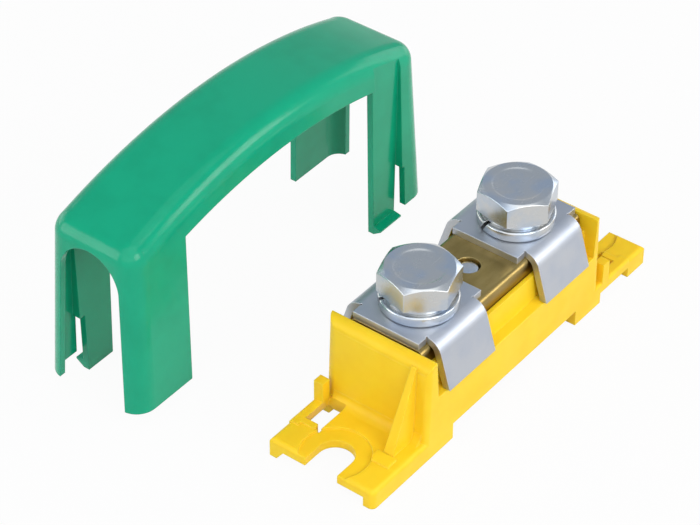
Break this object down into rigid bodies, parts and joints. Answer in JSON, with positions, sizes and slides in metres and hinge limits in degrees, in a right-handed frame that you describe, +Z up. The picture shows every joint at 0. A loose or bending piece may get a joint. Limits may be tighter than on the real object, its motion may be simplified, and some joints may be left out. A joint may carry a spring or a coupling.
{
  "type": "power terminal block",
  "caption": "Screw-down power terminal block for a mounting rail: base with a contact bar under two clamp saddles with hexagon bolts, and its clip-on cover set down beside it.",
  "frame": {"origin": "on the underside of the base, at the middle of its footprint", "axes": "+X along the block from the front pole to the rear pole, +Y across the block towards the taken-off cover, +Z up, away from the mounting surface"},
  "size_m": [0.0881, 0.0616, 0.0416],
  "materials": {
    "base_plastic": "satin moulded, warm yellow",
    "cover_plastic": "smooth moulded, green",
    "bar_metal": "drawn bar, dull olive brown",
    "zinc_sheet": "bright zinc plate on bent sheet",
    "zinc_fastener": "bright blue zinc plate"
  },
  "bodies": {
    "root": {"base_housing": "base_plastic", "contact_bar": "bar_metal", "clamp_saddle_front": "zinc_sheet", "clamp_saddle_rear": "zinc_sheet", "spring_washer_front": "zinc_fastener", "spring_washer_rear": "zinc_fastener", "hex_bolt_front": "zinc_fastener", "hex_bolt_rear": "zinc_fastener", "bar_screw": "zinc_fastener", "cover": "cover_plastic"}
  },
  "joints": []
}
